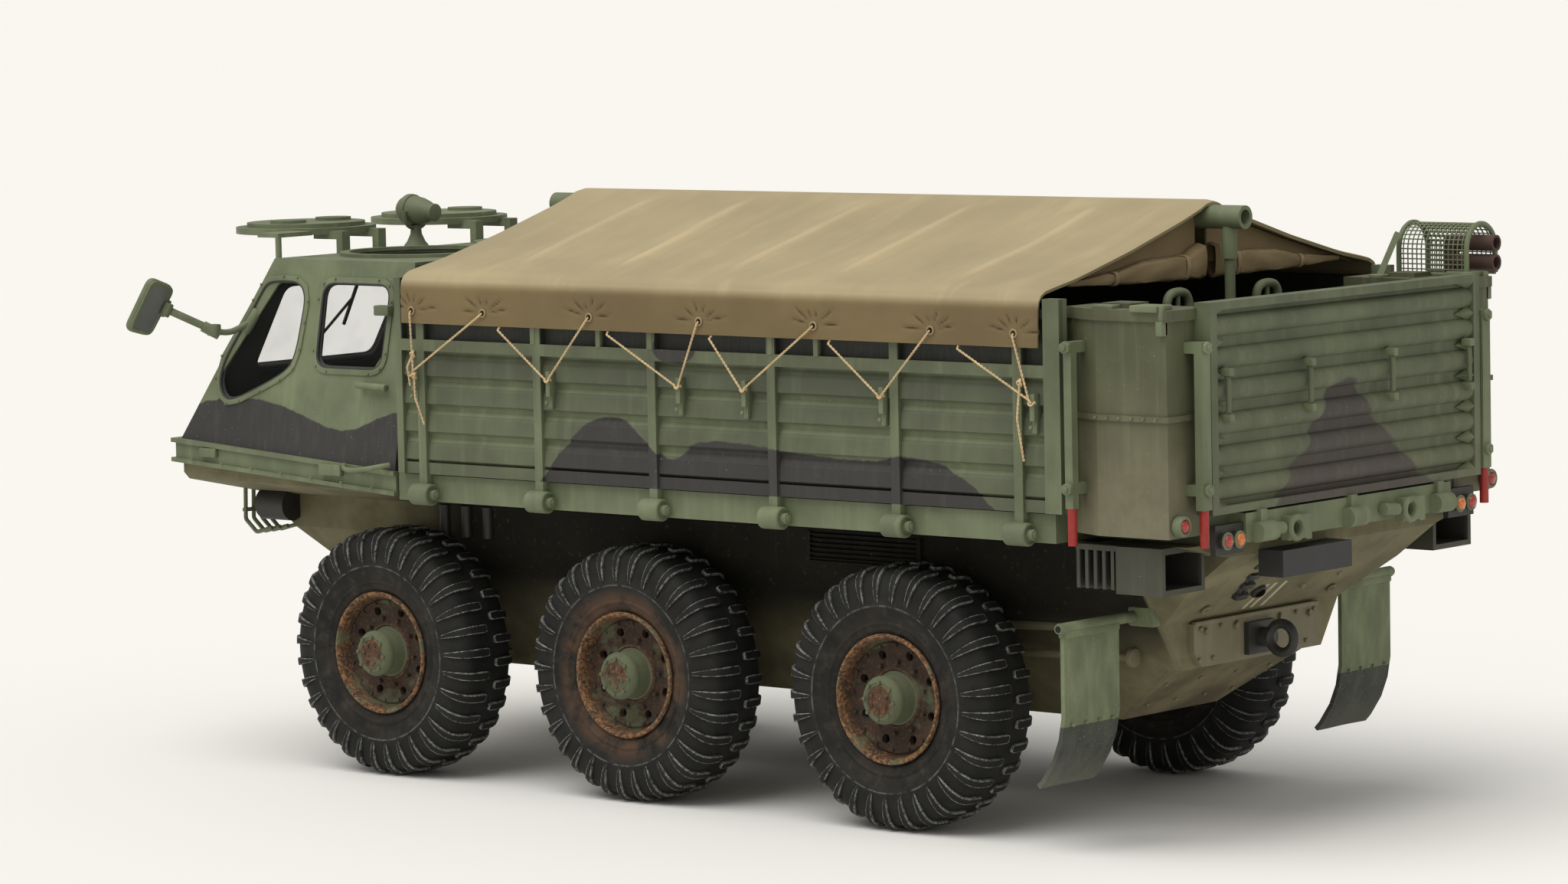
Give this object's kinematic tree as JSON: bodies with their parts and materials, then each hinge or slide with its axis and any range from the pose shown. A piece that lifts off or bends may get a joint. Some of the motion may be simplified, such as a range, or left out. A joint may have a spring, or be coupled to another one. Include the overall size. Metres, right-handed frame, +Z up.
{
  "type": "scale model of a six-wheel amphibious cargo truck",
  "caption": "Scale model of a six-wheel amphibious cargo truck: boat-like hull, sloping cab with open roof hatches, drop-side bed under a roped tilt, turning wheels.",
  "frame": {"origin": "on the ground, under the middle of the whole model", "axes": "+X forward to the cab, +Y to the left side, +Z up"},
  "size_m": [0.1865, 0.0976, 0.0813],
  "materials": {
    "tyre_rubber": "worn rubber, pale scuffed lug edges",
    "rusty_wheel": "rust over green paint",
    "hull_paint": "dusty dark green paint",
    "green_paint": "matt green paint with dark patches",
    "window_glass": "clear styrene",
    "interior_paint": "matt dark green",
    "black_plastic": "matt black",
    "tilt_canvas": "moulded tilt painted as canvas",
    "rope": "tan twine",
    "red_paint": "matt red",
    "red_lens": "clear red and orange lenses",
    "dark_steel": "worn dark metal",
    "flap_rubber": "dusty green rubber"
  },
  "bodies": {
    "truck": {"bar_tips": "red_paint", "bed_floor": "green_paint", "bed_hoops": "green_paint", "breather_pipes": "hull_paint", "cab_glass": "window_glass", "cab_interior": "interior_paint", "cab_shell": "green_paint", "exhaust": "rusty_wheel", "exhaust_guard": "green_paint", "front_bulkhead": "green_paint", "gate_hinges": "green_paint", "headlamp_left": "dark_steel", "headlamp_right": "dark_steel", "hull": "hull_paint", "lamp_guard_left": "dark_steel", "lamp_guard_right": "dark_steel", "lashing": "rope", "lid_left": "green_paint", "lid_right": "green_paint", "lid_stay": "green_paint", "locker_left": "green_paint", "locker_right": "green_paint", "marker_lamps": "red_lens", "mirror_left": "green_paint", "mirror_right": "green_paint", "mudflap_left": "flap_rubber", "mudflap_right": "flap_rubber", "outlet_left": "hull_paint", "outlet_right": "hull_paint", "pintle_hook": "dark_steel", "plate_box": "black_plastic", "rear_curtains": "tilt_canvas", "ridge_pole": "green_paint", "roof_rings": "green_paint", "rub_rail": "green_paint", "searchlight": "green_paint", "side_hinges": "green_paint", "side_left": "green_paint", "side_right": "green_paint", "stay_bars": "green_paint", "steering_wheel": "black_plastic", "stern_band": "hull_paint", "suspension_left": "hull_paint", "suspension_right": "hull_paint", "tail_lamps": "red_lens", "tailgate": "green_paint", "tilt": "tilt_canvas", "tow_eyes": "green_paint"},
    "wheel_front_left": {"tyre_front_left": "tyre_rubber", "rim_front_left": "rusty_wheel"},
    "wheel_front_right": {"tyre_front_right": "tyre_rubber", "rim_front_right": "rusty_wheel"},
    "wheel_middle_left": {"tyre_middle_left": "tyre_rubber", "rim_middle_left": "rusty_wheel"},
    "wheel_middle_right": {"tyre_middle_right": "tyre_rubber", "rim_middle_right": "rusty_wheel"},
    "wheel_rear_left": {"tyre_rear_left": "tyre_rubber", "rim_rear_left": "rusty_wheel"},
    "wheel_rear_right": {"tyre_rear_right": "tyre_rubber", "rim_rear_right": "rusty_wheel"}
  },
  "joints": [
    {"name": "front_left_wheel_turn", "type": "hinge", "parent": "truck", "child": "wheel_front_left", "pos_m": [0.0502, 0.0294, 0.01747], "axis": [0, 1, 0], "continuous": true},
    {"name": "front_right_wheel_turn", "type": "hinge", "parent": "truck", "child": "wheel_front_right", "pos_m": [0.0502, -0.0294, 0.01747], "axis": [0, 1, 0], "continuous": true},
    {"name": "middle_left_wheel_turn", "type": "hinge", "parent": "truck", "child": "wheel_middle_left", "pos_m": [0.0041, 0.0294, 0.01747], "axis": [0, 1, 0], "continuous": true},
    {"name": "middle_right_wheel_turn", "type": "hinge", "parent": "truck", "child": "wheel_middle_right", "pos_m": [0.0041, -0.0294, 0.01747], "axis": [0, 1, 0], "continuous": true},
    {"name": "rear_left_wheel_turn", "type": "hinge", "parent": "truck", "child": "wheel_rear_left", "pos_m": [-0.042, 0.0294, 0.01747], "axis": [0, 1, 0], "continuous": true},
    {"name": "rear_right_wheel_turn", "type": "hinge", "parent": "truck", "child": "wheel_rear_right", "pos_m": [-0.042, -0.0294, 0.01747], "axis": [0, 1, 0], "continuous": true}
  ]
}
